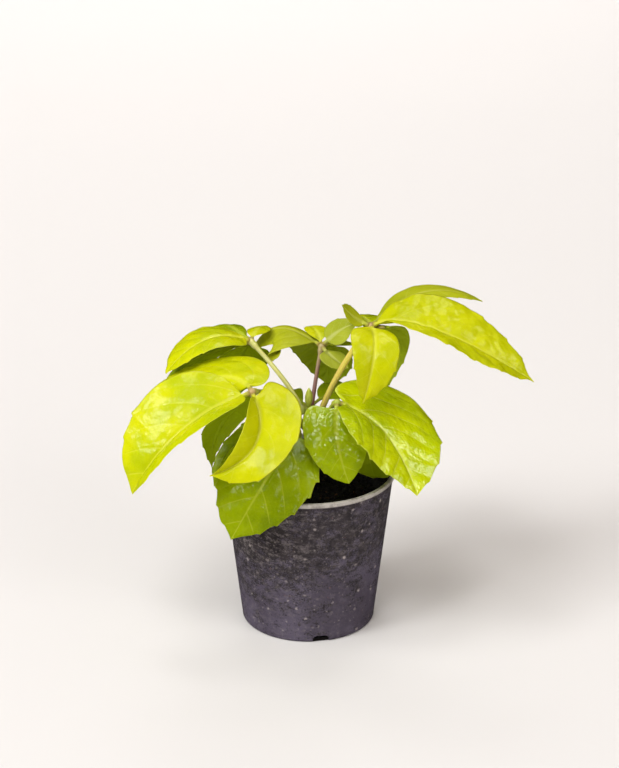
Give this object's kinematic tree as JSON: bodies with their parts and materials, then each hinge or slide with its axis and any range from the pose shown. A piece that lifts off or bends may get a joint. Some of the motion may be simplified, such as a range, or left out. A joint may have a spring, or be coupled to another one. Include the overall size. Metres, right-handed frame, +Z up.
{
  "type": "potted umbrella plant",
  "caption": "Young umbrella plant with fingered, toothed, glossy leaves on arching stalks, growing from soil in a tapered round nursery pot with a rolled rim and drainage holes.",
  "frame": {"origin": "centre of the pot's flat underside, on the surface that it stands on", "axes": "+Z up, -Y towards the pictured front, +X towards the longest leaflet, on the picture's right"},
  "size_m": [0.238, 0.1543, 0.2042],
  "materials": {
    "pot_plastic": "matt slate-grey moulded plastic, weathered, with dried soil and mineral specks",
    "soil": "dark moist peat and bark crumbs",
    "stem": "green young bark with a satin skin",
    "petiole": "smooth yellow-green leaf stalk",
    "petiole_purple": "smooth purple-brown leaf stalk",
    "leaf_yellow": "waxy yellow young leaf, semi-gloss",
    "leaf_lime": "waxy lime leaf, semi-gloss",
    "leaf_green": "waxy green leaf, glossy and puckered",
    "leaf_mid": "waxy mid-green leaf, semi-gloss",
    "leaf_olive": "olive leaf, matt",
    "leaf_dark": "dark green leaf, satin",
    "leaf_pale": "pale young growth, matt"
  },
  "bodies": {
    "root": {"pot": "pot_plastic", "potting_soil": "soil", "stem": "stem", "apex_bud": "leaf_pale", "upper_left_petiole": "petiole", "upper_left_leaflet_1": "leaf_yellow", "upper_left_leaflet_2": "leaf_mid", "upper_left_leaflet_3": "leaf_lime", "upper_left_leaflet_4": "leaf_dark", "upper_left_leaflet_5": "leaf_dark", "front_left_petiole": "petiole", "front_left_leaflet_1": "leaf_lime", "front_left_leaflet_2": "leaf_lime", "front_left_leaflet_3": "leaf_yellow", "front_left_leaflet_4": "leaf_dark", "rim_petiole": "petiole", "rim_leaflet_1": "leaf_mid", "rim_leaflet_2": "leaf_dark", "rim_leaflet_3": "leaf_dark", "front_right_petiole": "petiole", "front_right_leaflet_1": "leaf_green", "front_right_leaflet_2": "leaf_green", "front_right_leaflet_3": "leaf_dark", "upper_right_petiole": "petiole", "upper_right_leaflet_1": "leaf_yellow", "upper_right_leaflet_2": "leaf_olive", "upper_right_leaflet_3": "leaf_yellow", "upper_right_leaflet_4": "leaf_olive", "upper_right_leaflet_5": "leaf_green", "upper_right_leaflet_6": "leaf_mid", "back_petiole": "petiole_purple", "back_leaflet_1": "leaf_olive", "back_leaflet_2": "leaf_mid", "back_leaflet_3": "leaf_pale", "back_leaflet_4": "leaf_pale", "back_leaflet_5": "leaf_green", "back_leaflet_6": "leaf_lime", "low_back_petiole": "petiole", "low_back_leaflet_1": "leaf_dark", "low_back_leaflet_2": "leaf_dark"}
  },
  "joints": []
}
